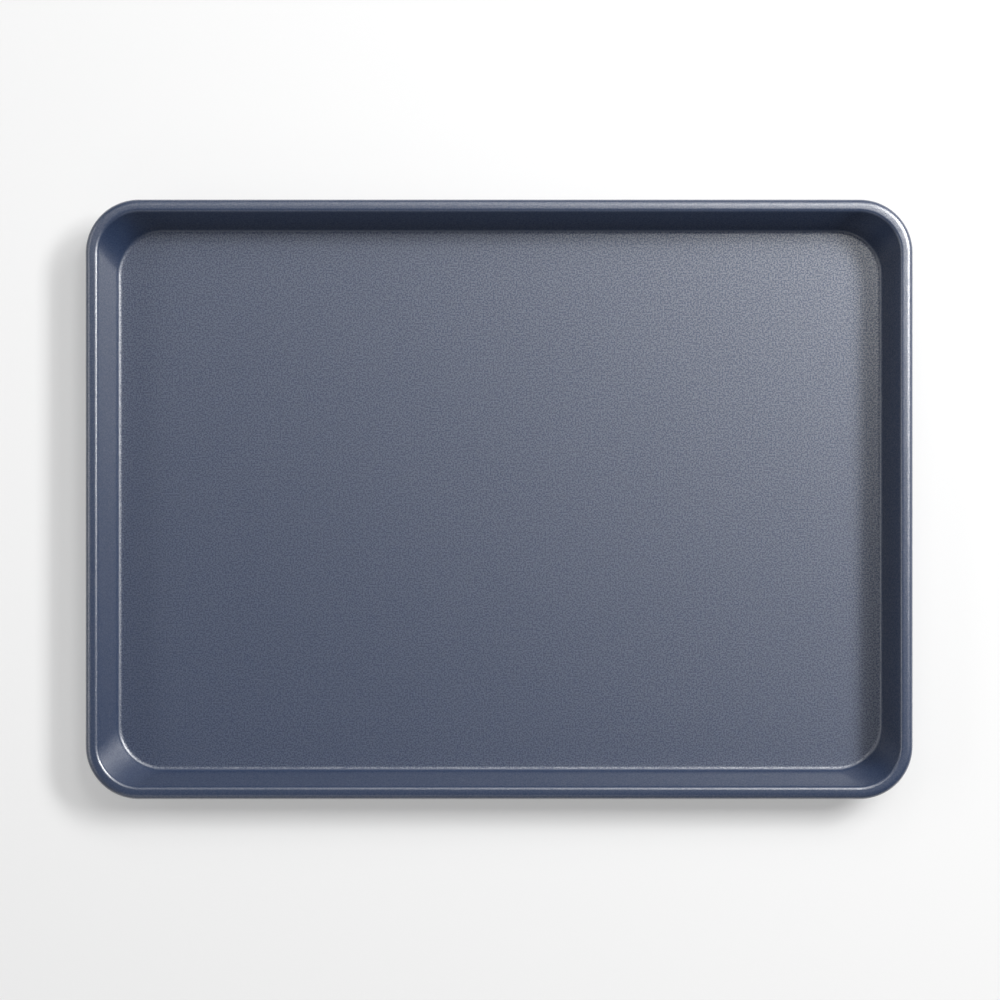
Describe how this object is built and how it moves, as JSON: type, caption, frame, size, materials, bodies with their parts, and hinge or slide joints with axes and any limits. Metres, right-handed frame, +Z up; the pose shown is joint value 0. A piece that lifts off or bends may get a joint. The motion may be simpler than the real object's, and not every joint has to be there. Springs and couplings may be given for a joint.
{
  "type": "jelly roll pan",
  "caption": "Shallow rectangular baking pan with rounded corners, flared walls, a crowned rim rolled round a hidden wire, and a textured slate blue release coat.",
  "frame": {"origin": "on the table under the middle of the base", "axes": "+X along the long side, +Y along the short side towards the picture's top edge, +Z up out of the mouth"},
  "size_m": [0.451, 0.327, 0.0254],
  "materials": {
    "outer_enamel": "satin slate blue coating on pressed steel",
    "release_coat": "satin slate blue release coat with a fine pebbled grain",
    "wire_steel": "plain drawn steel wire"
  },
  "bodies": {
    "root": {"pan_sheet": "outer_enamel", "release_coat": "release_coat", "rim_wire": "wire_steel"}
  },
  "joints": []
}
